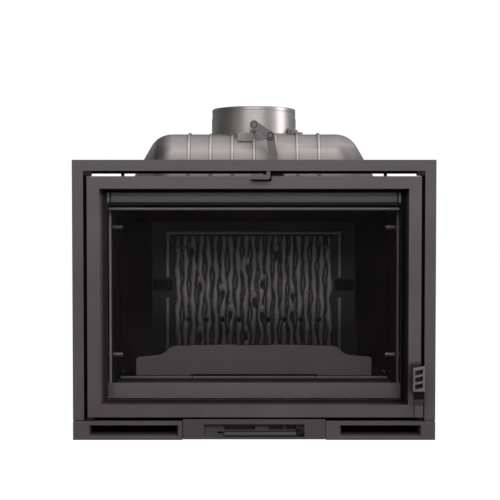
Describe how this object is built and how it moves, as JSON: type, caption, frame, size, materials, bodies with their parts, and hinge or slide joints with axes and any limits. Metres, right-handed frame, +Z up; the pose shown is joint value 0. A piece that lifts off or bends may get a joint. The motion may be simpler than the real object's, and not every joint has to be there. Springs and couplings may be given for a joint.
{
  "type": "fireplace insert",
  "caption": "Cast-iron fireplace insert with glazed hinged door, ribbed smoke dome, flue collar with linked damper, log guard, fireback and ash drawer with air slider.",
  "frame": {"origin": "on the floor, straight below the axis of the flue collar", "axes": "+Z up, the glazed front faces -Y, +X to the right of a person looking at the front"},
  "size_m": [0.8, 0.49, 0.75],
  "materials": {
    "surround_steel": "satin heat-resistant paint",
    "door_iron": "satin heat-resistant paint on cast iron",
    "body_iron": "matt painted casting",
    "dome_iron": "satin grey painted casting",
    "collar_iron": "satin grey painted casting",
    "hearth_iron": "matt casting",
    "lining_iron": "matt casting",
    "fireback_iron": "matt casting with relief",
    "handle_iron": "satin paint",
    "linkage_steel": "satin painted flat bar",
    "black_steel": "black paint",
    "dark_steel": "dark heat-resistant paint",
    "bare_steel": "turned steel",
    "zinc_steel": "bright zinc plate",
    "seal_rope": "knitted glass-fibre rope",
    "ceramic_glass": "clear ceramic glass"
  },
  "bodies": {
    "root": {"surround_frame": "surround_steel", "frame_straps": "dark_steel", "hinge_brackets": "black_steel", "hinge_pins": "bare_steel", "skirt_left": "surround_steel", "skirt_right": "surround_steel", "base_plate": "body_iron", "front_plate": "body_iron", "left_wall": "body_iron", "right_wall": "body_iron", "rear_wall": "body_iron", "top_plate": "body_iron", "firebox_floor": "body_iron", "ash_chute": "dark_steel", "hearth_left": "hearth_iron", "hearth_centre": "hearth_iron", "hearth_right": "hearth_iron", "grate": "hearth_iron", "front_sill": "hearth_iron", "log_guard": "hearth_iron", "side_liner_left": "lining_iron", "side_liner_right": "lining_iron", "corner_liner_left": "lining_iron", "corner_liner_right": "lining_iron", "wall_studs": "bare_steel", "baffle_pins": "lining_iron", "fireback": "fireback_iron", "fireback_hooks": "dark_steel", "liner_clamps": "lining_iron", "rear_air_duct": "dark_steel", "baffle_plate": "lining_iron", "air_wash_deflector": "dark_steel", "smoke_dome": "dome_iron", "dome_bolts": "black_steel", "flue_collar": "collar_iron", "collar_clamps": "dome_iron", "collar_screws": "zinc_steel", "control_bearing": "black_steel", "drawer_runners": "dark_steel"},
    "door": {"door_frame": "door_iron", "door_glass": "ceramic_glass", "glass_seal": "seal_rope", "glass_clips": "dark_steel", "glass_clip_screws": "bare_steel", "door_rope_seal": "seal_rope"},
    "handle": {"door_handle": "handle_iron", "handle_spindle": "bare_steel", "latch_tongue": "bare_steel"},
    "damper": {"damper_disc": "dark_steel", "damper_shaft": "bare_steel", "damper_crank": "linkage_steel"},
    "damper_link": {"damper_link": "linkage_steel"},
    "damper_control": {"control_shaft": "black_steel", "control_tab": "black_steel", "control_rocker": "linkage_steel"},
    "ash_drawer": {"drawer_front": "surround_steel", "ash_pan": "dark_steel"},
    "air_slider": {"air_slider": "dark_steel", "slider_bar": "black_steel", "slider_knob": "black_steel"}
  },
  "joints": [
    {"name": "door_hinge", "type": "hinge", "parent": "root", "child": "door", "pos_m": [-0.362, -0.234, 0.3], "axis": [0, 0, -1], "range_deg": [0, 100]},
    {"name": "handle_turn", "type": "hinge", "parent": "door", "child": "handle", "pos_m": [0.3625, -0.24, 0.068], "axis": [0, -1, 0], "range_deg": [0, 60]},
    {"name": "damper_turn", "type": "hinge", "parent": "root", "child": "damper", "pos_m": [0, 0, 0.7003], "axis": [0, 1, 0], "range_deg": [0, 90]},
    {"name": "link_swing", "type": "hinge", "parent": "damper", "child": "damper_link", "pos_m": [0.0366, -0.1665, 0.6765], "axis": [0, 1, 0], "range_deg": [-90, 0]},
    {"name": "control_turn", "type": "hinge", "parent": "root", "child": "damper_control", "pos_m": [0.031, -0.24, 0.588], "axis": [0, 1, 0], "range_deg": [0, 90]},
    {"name": "drawer_slide", "type": "slide", "parent": "root", "child": "ash_drawer", "axis": [0, -1, 0], "range_m": [0, 0.28]},
    {"name": "air_slide", "type": "slide", "parent": "ash_drawer", "child": "air_slider", "axis": [-1, 0, 0], "range_m": [0, 0.042]}
  ],
  "couplings": [
    {"joint": "link_swing", "follows": "damper_turn", "ratio": -1},
    {"joint": "control_turn", "follows": "damper_turn", "ratio": 1}
  ]
}
